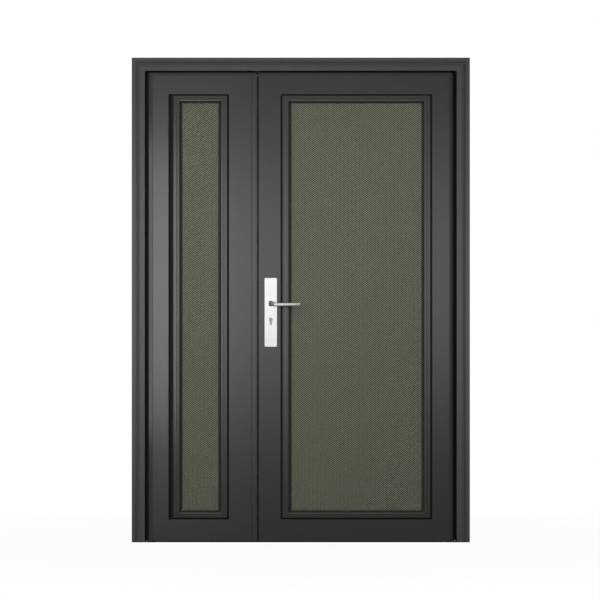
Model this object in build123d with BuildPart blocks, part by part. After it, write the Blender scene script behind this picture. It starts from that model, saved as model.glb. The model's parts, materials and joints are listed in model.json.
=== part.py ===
"""Unequal pair security door: a stepped frame, a narrow leaf and a wide leaf hung on floor and head pivots.

The origin is on the wide leaf's pivot axis, at floor level. +X points towards the wide leaf's jamb,
+Y goes through the door from the outside to the inside, and +Z is up. Sizes are in millimetres.
"""
import os
from math import cos, radians, sin

from build123d import *

# Frame
FRAME_WIDTH = 1500.0
FRAME_HEIGHT = 2150.0
FRAME_FACE = 59.0
STOP_PROJECTION = 15.0
STOP_DEPTH = 44.0

# Stepped moulding on the frame's face, counted inwards from its outer edge
OUTER_FILLET = 16.0
OUTER_FILLET_SET_BACK = 6.0
QUIRK_WIDTH = 6.0
QUIRK_DEPTH = 12.0
RAMP_WIDTH = 17.0
RAMP_RISE = 4.5
RAMP_BULGE = 1.1
FRAME_EDGE_RADIUS = 3.0

# Leaves and the gaps around them
LEAF_THICKNESS = 60.0
NARROW_LEAF_WIDTH = 491.0
SIDE_GAP = 6.0
MEETING_GAP = 6.0
HEAD_GAP = 8.0
FLOOR_GAP = 7.0
STOP_GAP = 6.0
RAIL_WIDTH = 95.0
WIDE_HINGE_STILE = 102.0
WIDE_LOCK_STILE = 98.0
NARROW_HINGE_STILE = 98.0
NARROW_MEETING_STILE = 100.0
MEETING_STRIP_WIDTH = 24.0
STRIP_CHAMFER = 1.5
TOP_BEVEL_HEIGHT = 10.0
TOP_BEVEL_DEPTH = 2.8
MEETING_BEVEL = 1.5

# Shadow ledge beside the narrow leaf's hinge stile
LEDGE_WIDTH = 13.0
LEDGE_SET_BACK = 11.0

# Panel beads, counted inwards from the edge of the panel opening
SIDE_BEAD_WIDTH = 48.0
RAIL_BEAD_WIDTH = 40.0
BEAD_SEAT_DEPTH = 22.0
BEAD_QUIRK_WIDTH = 9.5
BEAD_QUIRK_DEPTH = 14.0
BEAD_FILLET_WIDTH = 9.0
BEAD_FILLET_DEPTH = 0.5
BEAD_GROOVE_WIDTH = 3.0
BEAD_GROOVE_DEPTH = 1.5
BEAD_ROUND_WIDTH = 14.0
BEAD_ROUND_HEIGHT = 1.0
BEAD_COVE_SAG = 1.5
BEAD_INNER_EDGE = 3.0
BEAD_MITRE_GAP = 0.3

# Panel: a mesh sheet on each side of a core
MESH_THICKNESS = 2.0
PANEL_CLEARANCE = 0.5

# Pivots
PIVOT_PIN_RADIUS = 8.0
PIVOT_PIN_LENGTH = 25.0
PIVOT_RUNNING_CLEARANCE = 0.08
PIVOT_END_CLEARANCE = 2.0
FLOOR_PLATE_THICKNESS = 3.0
FLOOR_PLATE_INSET = 1.0
FLOOR_TONGUE_WIDTH = 44.0
COLLAR_RADIUS = 18.0
COLLAR_CLEARANCE = 0.2
HEAD_PLATE_LENGTH = 58.0
HEAD_PLATE_WIDTH = 36.0
HEAD_PLATE_THICKNESS = 3.0
HEAD_SHANK_LENGTH = 30.0
HEAD_SEAT_CLEARANCE = 0.2

# Wall anchors through the stops of the jambs
ANCHOR_RADIUS = 5.5
ANCHOR_PAIR_SPACING = 600.0
ANCHOR_END_DISTANCE = 200.0

# Lock set
BACKSET = 55.0
SPINDLE_HEIGHT = 1060.0
SPINDLE_TO_CYLINDER = 72.0
PLATE_WIDTH = 58.0
PLATE_HEIGHT = 308.0
PLATE_THICKNESS = 8.0
PLATE_CENTRE_BELOW_SPINDLE = 40.0
PLATE_CORNER_RADIUS = 5.0
PLATE_EDGE_BEVEL = 2.0
SPINDLE_SIDE = 8.0
SPINDLE_HOLE_RADIUS = 11.0
SPINDLE_SOCKET_CLEARANCE = 0.1
SPINDLE_SOCKET_DEPTH = 16.0
CYLINDER_RADIUS = 8.5
CYLINDER_TAIL_RADIUS = 5.0
CYLINDER_HEIGHT = 33.0
CYLINDER_PROUD = 2.5
CYLINDER_CLEARANCE = 0.2
KEYWAY_WIDTH = 2.0
KEYWAY_HEIGHT = 9.0
KEYWAY_DEPTH = 12.0

# Lever
LEVER_REACH = 130.0
LEVER_STAND_OFF = 52.0
LEVER_BEND_RADIUS = 28.0
LEVER_BEND_SECTIONS = 4
LEVER_BOTTOM_BELOW_SPINDLE = 11.8
LEVER_TIP_SLANT = 24.0
ROOT_HEIGHT = 23.0
ROOT_DEPTH = 17.0
GRIP_HEIGHT = 14.2
GRIP_DEPTH = 12.0
GRIP_BEVEL = 3.5
NECK_RADIUS = 10.0
NECK_LENGTH = 26.0
NECK_CLEARANCE = 0.4
NECK_END_GAP = 1.0

# Lock front in the wide leaf's edge and strike in the narrow leaf's edge
EDGE_PLATE_WIDTH = 24.0
EDGE_PLATE_THICKNESS = 3.0
EDGE_PLATE_CORNER_RADIUS = 4.0
LOCK_FRONT_HEIGHT = 235.0
STRIKE_HEIGHT = 210.0
BOLT_CLEARANCE = 0.3
BOLT_LENGTH = 28.0
BOLT_POCKET_DEPTH = 20.0
LATCH_HEIGHT = 24.0
LATCH_WIDTH = 12.0
LATCH_ABOVE_SPINDLE = 12.0
DEAD_BOLT_HEIGHT = 38.0
DEAD_BOLT_WIDTH = 14.0
DEAD_BOLT_ABOVE_CYLINDER = 14.0

# Places worked out from the sizes above
HALF_LEAF = LEAF_THICKNESS / 2
LEAF_FRONT = -HALF_LEAF
STOP_FRONT = LEAF_THICKNESS + STOP_GAP
FRAME_DEPTH = STOP_FRONT + STOP_DEPTH
RIGHT_OUTER = HALF_LEAF + SIDE_GAP + FRAME_FACE
LEFT_OUTER = RIGHT_OUTER - FRAME_WIDTH
HEAD_UNDERSIDE = FRAME_HEIGHT - FRAME_FACE
LEAF_BOTTOM = FLOOR_GAP
LEAF_TOP = HEAD_UNDERSIDE - HEAD_GAP
LEAF_HEIGHT = LEAF_TOP - LEAF_BOTTOM
OPENING_BOTTOM = LEAF_BOTTOM + RAIL_WIDTH
OPENING_TOP = LEAF_TOP - RAIL_WIDTH

NARROW_LEFT = LEFT_OUTER + FRAME_FACE + SIDE_GAP
NARROW_RIGHT = NARROW_LEFT + NARROW_LEAF_WIDTH
NARROW_PIVOT_X = NARROW_LEFT + HALF_LEAF
NARROW_STILE_EDGE = NARROW_LEFT + NARROW_HINGE_STILE
NARROW_OPENING_LEFT = NARROW_STILE_EDGE + LEDGE_WIDTH
NARROW_STRIP_LEFT = NARROW_RIGHT - MEETING_STRIP_WIDTH
NARROW_OPENING_RIGHT = NARROW_STRIP_LEFT - NARROW_MEETING_STILE

WIDE_PIVOT_X = 0.0
WIDE_LEFT = NARROW_RIGHT + MEETING_GAP
WIDE_OPENING_LEFT = WIDE_LEFT + WIDE_LOCK_STILE
WIDE_OPENING_RIGHT = WIDE_PIVOT_X + HALF_LEAF - WIDE_HINGE_STILE

SPINDLE_X = WIDE_LEFT + BACKSET
CYLINDER_Z = SPINDLE_HEIGHT - SPINDLE_TO_CYLINDER
PLATE_CENTRE_Z = SPINDLE_HEIGHT - PLATE_CENTRE_BELOW_SPINDLE
PLATE_FRONT = HALF_LEAF + PLATE_THICKNESS
LATCH_Z = SPINDLE_HEIGHT + LATCH_ABOVE_SPINDLE
DEAD_BOLT_Z = CYLINDER_Z + DEAD_BOLT_ABOVE_CYLINDER
LOCK_BOLTS = (
    (LATCH_Z, LATCH_WIDTH, LATCH_HEIGHT),
    (DEAD_BOLT_Z, DEAD_BOLT_WIDTH, DEAD_BOLT_HEIGHT),
)
EDGE_PLATE_CENTRE_Z = (LATCH_Z + DEAD_BOLT_Z) / 2
ANCHOR_HEIGHTS = (
    ANCHOR_END_DISTANCE,
    ANCHOR_END_DISTANCE + ANCHOR_PAIR_SPACING,
    FRAME_HEIGHT - ANCHOR_END_DISTANCE - ANCHOR_PAIR_SPACING,
    FRAME_HEIGHT - ANCHOR_END_DISTANCE,
)
ANCHOR_Y = LEAF_FRONT + STOP_FRONT + STOP_DEPTH / 2


def save(piece, name):
    """Label a finished piece and write it as its own file."""
    piece.part.label = name
    export_step(piece.part, f"parts/{name}.step")


def frame_outline():
    """The frame's section: x runs inwards from the outer edge, y from the front to the back."""
    quirk_end = OUTER_FILLET + QUIRK_WIDTH
    ramp_end = quirk_end + RAMP_WIDTH
    ramp_middle = (quirk_end + RAMP_WIDTH / 2, RAMP_RISE / 2 - RAMP_BULGE)
    stop_edge = FRAME_FACE + STOP_PROJECTION
    with BuildSketch(Plane.XY) as outline:
        with BuildLine():
            front = Polyline(
                (0, FRAME_DEPTH - OUTER_FILLET_SET_BACK),
                (0, OUTER_FILLET_SET_BACK),
                (OUTER_FILLET, OUTER_FILLET_SET_BACK),
                (OUTER_FILLET, QUIRK_DEPTH),
                (quirk_end, QUIRK_DEPTH),
                (quirk_end, RAMP_RISE),
            )
            ramp = ThreePointArc(front @ 1, ramp_middle, (ramp_end, 0))
            inner = Polyline(
                ramp @ 1,
                (FRAME_FACE, 0),
                (FRAME_FACE, STOP_FRONT),
                (stop_edge, STOP_FRONT),
                (stop_edge, FRAME_DEPTH),
                (ramp_end, FRAME_DEPTH),
            )
            back_middle = (ramp_middle[0], FRAME_DEPTH - ramp_middle[1])
            back_ramp = ThreePointArc(inner @ 1, back_middle, (quirk_end, FRAME_DEPTH - RAMP_RISE))
            Polyline(
                back_ramp @ 1,
                (quirk_end, FRAME_DEPTH - QUIRK_DEPTH),
                (OUTER_FILLET, FRAME_DEPTH - QUIRK_DEPTH),
                (OUTER_FILLET, FRAME_DEPTH - OUTER_FILLET_SET_BACK),
                (0, FRAME_DEPTH - OUTER_FILLET_SET_BACK),
            )
        make_face()
        corners = outline.vertices().filter_by_position(Axis.X, FRAME_FACE, stop_edge)
        rounded = [v for v in corners if v.Y < STOP_FRONT / 2 or v.X > FRAME_FACE + STOP_PROJECTION / 2]
        fillet(rounded, FRAME_EDGE_RADIUS)
    return outline.sketch


def frame_member(section_plane, length, mitres):
    """One length of the frame's section, cut to its mitres."""
    section = frame_outline()
    with BuildPart() as member:
        with BuildSketch(section_plane):
            add(section)
        extrude(amount=length)
        for mitre, side in mitres:
            split(bisect_by=mitre, keep=side)
    return member.part


def bead_outline(width):
    """A panel bead's section: x runs inwards from the opening's edge, y into the leaf from its face.

    From the outside in: a deep quirk, a flat fillet, a fine groove, a low round and a cove down to the mesh.
    Widths are stretched to the bar's own width, so that bars of two widths meet on the mitre.
    """
    stretch = width / SIDE_BEAD_WIDTH
    fillet_start = BEAD_QUIRK_WIDTH * stretch
    fillet_end = fillet_start + BEAD_FILLET_WIDTH * stretch
    groove_end = fillet_end + BEAD_GROOVE_WIDTH * stretch
    round_end = groove_end + BEAD_ROUND_WIDTH * stretch
    groove_depth = BEAD_FILLET_DEPTH + BEAD_GROOVE_DEPTH
    round_top = ((groove_end + round_end) / 2, groove_depth - BEAD_ROUND_HEIGHT)
    cove_depth = BEAD_SEAT_DEPTH - BEAD_INNER_EDGE
    cove_middle = (
        (round_end + width) / 2 - BEAD_COVE_SAG * stretch,
        (groove_depth + cove_depth) / 2 + BEAD_COVE_SAG,
    )
    with BuildSketch(Plane.XY) as outline:
        with BuildLine():
            flats = Polyline(
                (0, BEAD_SEAT_DEPTH),
                (0, BEAD_QUIRK_DEPTH),
                (fillet_start, BEAD_QUIRK_DEPTH),
                (fillet_start, BEAD_FILLET_DEPTH),
                (fillet_end, BEAD_FILLET_DEPTH),
                (fillet_end, groove_depth),
                (groove_end, groove_depth),
            )
            low_round = ThreePointArc(flats @ 1, round_top, (round_end, groove_depth))
            cove = ThreePointArc(low_round @ 1, cove_middle, (width, cove_depth))
            Polyline(cove @ 1, (width, BEAD_SEAT_DEPTH), (0, BEAD_SEAT_DEPTH))
        make_face()
    return outline.sketch


def bead_bars(left, right):
    """The four mitred bars of the bead on the outside of a leaf's panel."""
    width, height = right - left, OPENING_TOP - OPENING_BOTTOM
    corners = {
        (-1, 1): (left, LEAF_FRONT, OPENING_TOP),
        (1, 1): (right, LEAF_FRONT, OPENING_TOP),
        (1, -1): (right, LEAF_FRONT, OPENING_BOTTOM),
        (-1, -1): (left, LEAF_FRONT, OPENING_BOTTOM),
    }
    # Each bar: the corner its section stands on, the way inwards, the way along, its width and its length
    bars = (
        ((-1, -1), (1, 0, 0), (0, 0, 1), SIDE_BEAD_WIDTH, height),
        ((1, 1), (-1, 0, 0), (0, 0, -1), SIDE_BEAD_WIDTH, height),
        ((-1, 1), (0, 0, -1), (1, 0, 0), RAIL_BEAD_WIDTH, width),
        ((1, -1), (0, 0, 1), (-1, 0, 0), RAIL_BEAD_WIDTH, width),
    )
    made = []
    for start, inwards, along, bead_width, length in bars:
        section = bead_outline(bead_width)
        upright = inwards[0] != 0
        ends = [c for c in corners if (c[0] == start[0] if upright else c[1] == start[1])]
        with BuildPart() as bar:
            with BuildSketch(Plane(origin=corners[start], x_dir=inwards, z_dir=along)):
                add(section)
            extrude(amount=length)
            for sx, sz in ends:
                # The mitre's normal points from the rail bar towards the side bar
                normal = Vector(sx * RAIL_BEAD_WIDTH, 0, -sz * SIDE_BEAD_WIDTH).normalized()
                way = 1 if upright else -1
                corner = Vector(*corners[(sx, sz)]) + normal * (way * BEAD_MITRE_GAP / 2)
                split(bisect_by=Plane(origin=corner, z_dir=normal * way), keep=Keep.TOP)
        made.append(bar.part)
    return made


def heel_stile(pivot_x, inner_x, ledge):
    """A hinge stile with a half-round heel about its pivot, bored for the pins at both ends."""
    way = 1 if pivot_x > inner_x else -1
    with BuildPart() as stile:
        with BuildSketch(Plane.XY.offset(LEAF_BOTTOM)):
            with BuildLine():
                face = Line((inner_x, -HALF_LEAF), (pivot_x, -HALF_LEAF))
                heel = ThreePointArc(face @ 1, (pivot_x + way * HALF_LEAF, 0), (pivot_x, HALF_LEAF))
                Polyline(heel @ 1, (inner_x, HALF_LEAF), (inner_x, -HALF_LEAF))
            make_face()
        extrude(amount=LEAF_HEIGHT)
        top = stile.faces().sort_by(Axis.Z)[-1]
        top_edges = top.edges().sort_by(Axis.X)
        inner_edge = top_edges[0] if way > 0 else top_edges[-1]
        outer_edges = [e for e in top_edges if e != inner_edge]
        chamfer(outer_edges, TOP_BEVEL_DEPTH, TOP_BEVEL_HEIGHT, reference=top)
        if ledge:
            with BuildSketch(Plane.XY.offset(OPENING_BOTTOM)):
                with Locations((inner_x - way * ledge / 2, 0)):
                    Rectangle(ledge, LEAF_THICKNESS - 2 * LEDGE_SET_BACK)
            extrude(amount=OPENING_TOP - OPENING_BOTTOM)
        bore = PIVOT_PIN_RADIUS + PIVOT_RUNNING_CLEARANCE
        depth = PIVOT_PIN_LENGTH + PIVOT_END_CLEARANCE
        with BuildSketch(Plane.XY.offset(LEAF_BOTTOM), Plane.XY.offset(LEAF_TOP - depth)):
            with Locations((pivot_x, 0)):
                Circle(bore)
        extrude(amount=depth, mode=Mode.SUBTRACT)
    return stile


def edge_stile(left, right, meeting_side):
    """A square stile, bevelled round its face at the meeting gap: 1 is the right, -1 the left, 0 neither."""
    with BuildPart() as stile:
        with BuildSketch(Plane.XY.offset(LEAF_BOTTOM)):
            with Locations(((left + right) / 2, 0)):
                Rectangle(right - left, LEAF_THICKNESS)
        extrude(amount=LEAF_HEIGHT)
        top = stile.faces().sort_by(Axis.Z)[-1]
        chamfer(top.edges().filter_by(Axis.X), TOP_BEVEL_DEPTH, TOP_BEVEL_HEIGHT, reference=top)
        if meeting_side:
            meeting_face = stile.faces().sort_by(Axis.X)[-1 if meeting_side > 0 else 0]
            bottom = meeting_face.edges().sort_by(Axis.Z)[0]
            chamfer([e for e in meeting_face.edges() if e != bottom], MEETING_BEVEL)
    return stile


def rail(left, right, bottom, bevelled_top):
    """A rail between two stiles."""
    with BuildPart() as bar:
        with BuildSketch(Plane.XY.offset(bottom)):
            with Locations(((left + right) / 2, 0)):
                Rectangle(right - left, LEAF_THICKNESS)
        extrude(amount=RAIL_WIDTH)
        if bevelled_top:
            top = bar.faces().sort_by(Axis.Z)[-1]
            chamfer(top.edges().filter_by(Axis.X), TOP_BEVEL_DEPTH, TOP_BEVEL_HEIGHT, reference=top)
    return bar


def panel_sheet(left, right, front, thickness):
    """A flat sheet that fills a leaf's panel opening, with its outer face at the given depth."""
    with BuildPart() as sheet:
        with BuildSketch(Plane.XZ.offset(-front)):
            with Locations(((left + right) / 2, (OPENING_BOTTOM + OPENING_TOP) / 2)):
                Rectangle(
                    right - left - 2 * PANEL_CLEARANCE,
                    OPENING_TOP - OPENING_BOTTOM - 2 * PANEL_CLEARANCE,
                )
        extrude(amount=-thickness)
    return sheet


def cylinder_outline(clearance):
    """The lock cylinder's key-shaped section, seen from the front, about its plug's axis."""
    tail_drop = CYLINDER_HEIGHT - CYLINDER_RADIUS - CYLINDER_TAIL_RADIUS
    with BuildSketch(Plane.XY) as outline:
        Circle(CYLINDER_RADIUS + clearance)
        with Locations((0, -tail_drop / 2)):
            Rectangle(2 * (CYLINDER_TAIL_RADIUS + clearance), tail_drop)
        with Locations((0, -tail_drop)):
            Circle(CYLINDER_TAIL_RADIUS + clearance)
    return outline.sketch


def lever_handle():
    """The outside lever: a round neck, a root that thins as it bends, and a straight grip with a slanted tip."""
    start_y = -(HALF_LEAF + NECK_END_GAP)
    root_y = LEVER_BEND_RADIUS - (HALF_LEAF + LEVER_STAND_OFF)
    bottom = SPINDLE_HEIGHT - LEVER_BOTTOM_BELOW_SPINDLE
    tip_x = SPINDLE_X + LEVER_REACH
    with BuildPart() as lever:
        for step in range(LEVER_BEND_SECTIONS):
            share = step / (LEVER_BEND_SECTIONS - 1)
            turn = radians(90 * share)
            height = ROOT_HEIGHT + (GRIP_HEIGHT - ROOT_HEIGHT) * share
            depth = ROOT_DEPTH + (GRIP_DEPTH - ROOT_DEPTH) * share
            centre_x = SPINDLE_X + LEVER_BEND_RADIUS * (1 - cos(turn))
            centre_y = root_y - LEVER_BEND_RADIUS * sin(turn)
            across, along = (cos(turn), sin(turn), 0), (sin(turn), -cos(turn), 0)
            with BuildSketch(Plane((centre_x, centre_y, bottom + height / 2), across, along)) as section:
                Rectangle(depth, height)
                chamfer(section.vertices(), GRIP_BEVEL * depth / GRIP_DEPTH)
        loft()
        grip_start = lever.faces().sort_by(Axis.X)[-1]
        extrude(grip_start, amount=LEVER_REACH)
        slant = radians(LEVER_TIP_SLANT)
        tip = Plane(origin=(tip_x, 0, bottom + GRIP_HEIGHT / 2), z_dir=(cos(slant), 0, -sin(slant)))
        split(bisect_by=tip, keep=Keep.BOTTOM)
        with BuildSketch(Plane.XZ.offset(-start_y)):
            with Locations((SPINDLE_X, SPINDLE_HEIGHT)):
                Circle(NECK_RADIUS)
        extrude(amount=NECK_LENGTH)
        with BuildSketch(Plane.XZ.offset(-start_y)):
            with Locations((SPINDLE_X, SPINDLE_HEIGHT)):
                socket = SPINDLE_SIDE + 2 * SPINDLE_SOCKET_CLEARANCE
                Rectangle(socket, socket)
        extrude(amount=SPINDLE_SOCKET_DEPTH, mode=Mode.SUBTRACT)
    return lever


def lock_plate():
    """The outside lock plate, cut for the lever's neck and the cylinder."""
    profile = cylinder_outline(CYLINDER_CLEARANCE)
    with BuildPart() as plate:
        with BuildSketch(Plane.XZ.offset(HALF_LEAF)):
            with Locations((SPINDLE_X, PLATE_CENTRE_Z)):
                RectangleRounded(PLATE_WIDTH, PLATE_HEIGHT, PLATE_CORNER_RADIUS)
        extrude(amount=PLATE_THICKNESS)
        chamfer(plate.faces().sort_by(Axis.Y)[0].edges(), PLATE_EDGE_BEVEL)
        with BuildSketch(Plane.XZ.offset(HALF_LEAF)):
            with Locations((SPINDLE_X, SPINDLE_HEIGHT)):
                Circle(NECK_RADIUS + NECK_CLEARANCE)
            with Locations((SPINDLE_X, CYLINDER_Z)):
                add(profile)
        extrude(amount=PLATE_THICKNESS, mode=Mode.SUBTRACT)
    return plate


def edge_plate(edge_x, inwards, height):
    """A plate let flush into a leaf's meeting edge, cut through for the lock's two bolts."""
    with BuildPart() as plate:
        with BuildSketch(Plane(origin=(edge_x, 0, 0), x_dir=(0, 1, 0), z_dir=(1, 0, 0))):
            with Locations((0, EDGE_PLATE_CENTRE_Z)):
                RectangleRounded(EDGE_PLATE_WIDTH, height, EDGE_PLATE_CORNER_RADIUS)
            for bolt_z, width, bolt_height in LOCK_BOLTS:
                with Locations((0, bolt_z)):
                    Rectangle(
                        width + 2 * BOLT_CLEARANCE,
                        bolt_height + 2 * BOLT_CLEARANCE,
                        mode=Mode.SUBTRACT,
                    )
        extrude(amount=inwards * EDGE_PLATE_THICKNESS)
    return plate


def edge_pockets(edge_x, inwards, height, bolt_depth):
    """What is cut from a leaf's meeting edge for an edge plate and for the two bolts behind it."""
    with BuildPart() as pockets:
        with BuildSketch(Plane(origin=(edge_x, 0, 0), x_dir=(0, 1, 0), z_dir=(1, 0, 0))):
            with Locations((0, EDGE_PLATE_CENTRE_Z)):
                RectangleRounded(EDGE_PLATE_WIDTH, height, EDGE_PLATE_CORNER_RADIUS)
        extrude(amount=inwards * EDGE_PLATE_THICKNESS)
        with BuildSketch(Plane(origin=(edge_x, 0, 0), x_dir=(0, 1, 0), z_dir=(1, 0, 0))):
            for bolt_z, width, bolt_height in LOCK_BOLTS:
                with Locations((0, bolt_z)):
                    Rectangle(width + 2 * BOLT_CLEARANCE, bolt_height + 2 * BOLT_CLEARANCE)
        extrude(amount=inwards * bolt_depth)
    return pockets.part


os.makedirs("parts", exist_ok=True)

# Jambs and head, mitred at the two upper corners
left_mitre = Plane(origin=(LEFT_OUTER, 0, FRAME_HEIGHT), z_dir=(1, 0, 1))
right_mitre = Plane(origin=(RIGHT_OUTER, 0, FRAME_HEIGHT), z_dir=(-1, 0, 1))
jamb_length = FRAME_HEIGHT - FLOOR_PLATE_THICKNESS

left_section = Plane(origin=(LEFT_OUTER, LEAF_FRONT, FLOOR_PLATE_THICKNESS), x_dir=(1, 0, 0), z_dir=(0, 0, 1))
left_length = frame_member(left_section, jamb_length, [(left_mitre, Keep.BOTTOM)])
right_section = Plane(origin=(RIGHT_OUTER, LEAF_FRONT, FRAME_HEIGHT), x_dir=(-1, 0, 0), z_dir=(0, 0, -1))
right_length = frame_member(right_section, jamb_length, [(right_mitre, Keep.BOTTOM)])
for name, length, outer, way in (
    ("left_jamb", left_length, LEFT_OUTER, 1),
    ("right_jamb", right_length, RIGHT_OUTER, -1),
):
    with BuildPart() as jamb:
        add(length)
        with BuildSketch(Plane.YZ.offset(outer)):
            with Locations([(ANCHOR_Y, z) for z in ANCHOR_HEIGHTS]):
                Circle(ANCHOR_RADIUS)
        extrude(amount=way * (FRAME_FACE + STOP_PROJECTION), mode=Mode.SUBTRACT)
    save(jamb, name)

head_section = Plane(origin=(LEFT_OUTER, LEAF_FRONT, FRAME_HEIGHT), x_dir=(0, 0, -1), z_dir=(1, 0, 0))
head_length = frame_member(head_section, FRAME_WIDTH, [(left_mitre, Keep.TOP), (right_mitre, Keep.TOP)])
with BuildPart() as head:
    add(head_length)
    with BuildSketch(Plane.XY.offset(HEAD_UNDERSIDE)):
        with Locations((NARROW_PIVOT_X, 0), (WIDE_PIVOT_X, 0)):
            Rectangle(HEAD_PLATE_LENGTH + 2 * HEAD_SEAT_CLEARANCE, HEAD_PLATE_WIDTH + 2 * HEAD_SEAT_CLEARANCE)
    extrude(amount=HEAD_PLATE_THICKNESS, mode=Mode.SUBTRACT)
    with BuildSketch(Plane.XY.offset(HEAD_UNDERSIDE)):
        with Locations((NARROW_PIVOT_X, 0), (WIDE_PIVOT_X, 0)):
            Circle(PIVOT_PIN_RADIUS + HEAD_SEAT_CLEARANCE)
    extrude(amount=HEAD_SHANK_LENGTH, mode=Mode.SUBTRACT)
save(head, "head")

# Pivots: a floor plate with a pin under each heel, and a plate with a pin let into the head above it
for name, pivot_x, outer, way in (
    ("left_floor_pivot", NARROW_PIVOT_X, LEFT_OUTER, 1),
    ("right_floor_pivot", WIDE_PIVOT_X, RIGHT_OUTER, -1),
):
    foot_outer = outer + way * FLOOR_PLATE_INSET
    foot_inner = outer + way * (FRAME_FACE - FLOOR_PLATE_INSET)
    tongue_end = pivot_x + way * FLOOR_TONGUE_WIDTH / 2
    with BuildPart() as floor_pivot:
        with BuildSketch(Plane.XY):
            with Locations(((foot_outer + foot_inner) / 2, LEAF_FRONT + FRAME_DEPTH / 2)):
                Rectangle(abs(foot_inner - foot_outer), FRAME_DEPTH - 2 * QUIRK_DEPTH)
            with Locations(((foot_outer + pivot_x) / 2, 0)):
                Rectangle(abs(pivot_x - foot_outer), FLOOR_TONGUE_WIDTH)
            with Locations((pivot_x, 0)):
                Circle(FLOOR_TONGUE_WIDTH / 2)
        extrude(amount=FLOOR_PLATE_THICKNESS)
        with BuildSketch(Plane.XY):
            with Locations((pivot_x, 0)):
                Circle(COLLAR_RADIUS)
        extrude(amount=LEAF_BOTTOM - COLLAR_CLEARANCE)
        with BuildSketch(Plane.XY):
            with Locations((pivot_x, 0)):
                Circle(PIVOT_PIN_RADIUS)
        extrude(amount=LEAF_BOTTOM + PIVOT_PIN_LENGTH)
    save(floor_pivot, name)

for name, pivot_x in (("left_head_pivot", NARROW_PIVOT_X), ("right_head_pivot", WIDE_PIVOT_X)):
    with BuildPart() as head_pivot:
        with BuildSketch(Plane.XY.offset(HEAD_UNDERSIDE)):
            with Locations((pivot_x, 0)):
                Rectangle(HEAD_PLATE_LENGTH, HEAD_PLATE_WIDTH)
        extrude(amount=HEAD_PLATE_THICKNESS)
        with BuildSketch(Plane.XY.offset(LEAF_TOP - PIVOT_PIN_LENGTH)):
            with Locations((pivot_x, 0)):
                Circle(PIVOT_PIN_RADIUS)
        extrude(amount=PIVOT_PIN_LENGTH + HEAD_GAP + HEAD_SHANK_LENGTH)
    save(head_pivot, name)

# Panels and beads of both leaves
core_front = LEAF_FRONT + BEAD_SEAT_DEPTH + MESH_THICKNESS
for leaf, left, right in (
    ("narrow", NARROW_OPENING_LEFT, NARROW_OPENING_RIGHT),
    ("wide", WIDE_OPENING_LEFT, WIDE_OPENING_RIGHT),
):
    save(panel_sheet(left, right, core_front, -2 * core_front), f"{leaf}_core_panel")
    save(panel_sheet(left, right, core_front - MESH_THICKNESS, MESH_THICKNESS), f"{leaf}_outside_mesh")
    save(panel_sheet(left, right, -core_front, MESH_THICKNESS), f"{leaf}_inside_mesh")
    bars = bead_bars(left, right)
    with BuildPart() as outside_bead:
        add(bars)
    save(outside_bead, f"{leaf}_outside_bead")
    with BuildPart() as inside_bead:
        mirror(outside_bead.part, about=Plane.XZ)
    save(inside_bead, f"{leaf}_inside_bead")

# Narrow leaf
save(heel_stile(NARROW_PIVOT_X, NARROW_STILE_EDGE, LEDGE_WIDTH), "narrow_hinge_stile")
save(edge_stile(NARROW_OPENING_RIGHT, NARROW_STRIP_LEFT, 0), "narrow_meeting_stile")
save(rail(NARROW_STILE_EDGE, NARROW_OPENING_RIGHT, OPENING_TOP, True), "narrow_top_rail")
save(rail(NARROW_STILE_EDGE, NARROW_OPENING_RIGHT, LEAF_BOTTOM, False), "narrow_bottom_rail")

strip_blank = edge_stile(NARROW_STRIP_LEFT, NARROW_RIGHT, 1)
strike_pockets = edge_pockets(NARROW_RIGHT, -1, STRIKE_HEIGHT, BOLT_POCKET_DEPTH)
with BuildPart() as meeting_strip:
    add(strip_blank.part)
    seat_face = meeting_strip.faces().sort_by(Axis.X)[0]
    seat_bottom = seat_face.edges().sort_by(Axis.Z)[0]
    chamfer([e for e in seat_face.edges() if e != seat_bottom], STRIP_CHAMFER)
    add(strike_pockets, mode=Mode.SUBTRACT)
save(meeting_strip, "narrow_meeting_strip")
save(edge_plate(NARROW_RIGHT, -1, STRIKE_HEIGHT), "strike_plate")

# Wide leaf
save(heel_stile(WIDE_PIVOT_X, WIDE_OPENING_RIGHT, 0), "wide_hinge_stile")
save(rail(WIDE_OPENING_LEFT, WIDE_OPENING_RIGHT, OPENING_TOP, True), "wide_top_rail")
save(rail(WIDE_OPENING_LEFT, WIDE_OPENING_RIGHT, LEAF_BOTTOM, False), "wide_bottom_rail")

lock_stile_blank = edge_stile(WIDE_LEFT, WIDE_OPENING_LEFT, -1)
lock_pockets = edge_pockets(WIDE_LEFT, 1, LOCK_FRONT_HEIGHT, BOLT_LENGTH)
cylinder_hole = cylinder_outline(CYLINDER_CLEARANCE)
with BuildPart() as lock_stile:
    add(lock_stile_blank.part)
    add(lock_pockets, mode=Mode.SUBTRACT)
    with BuildSketch(Plane.XZ):
        with Locations((SPINDLE_X, SPINDLE_HEIGHT)):
            Circle(SPINDLE_HOLE_RADIUS)
        with Locations((SPINDLE_X, CYLINDER_Z)):
            add(cylinder_hole)
    extrude(amount=HALF_LEAF, both=True, mode=Mode.SUBTRACT)
save(lock_stile, "wide_lock_stile")

# Lock set
save(edge_plate(WIDE_LEFT, 1, LOCK_FRONT_HEIGHT), "lock_front")
with BuildPart() as lock_bolts:
    with BuildSketch(Plane(origin=(WIDE_LEFT, 0, 0), x_dir=(0, 1, 0), z_dir=(1, 0, 0))):
        for bolt_z, width, bolt_height in LOCK_BOLTS:
            with Locations((0, bolt_z)):
                Rectangle(width, bolt_height)
    extrude(amount=BOLT_LENGTH)
save(lock_bolts, "lock_bolts")

outside_plate = lock_plate()
save(outside_plate, "outside_lock_plate")
with BuildPart() as inside_plate:
    mirror(outside_plate.part, about=Plane.XZ)
save(inside_plate, "inside_lock_plate")

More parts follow.
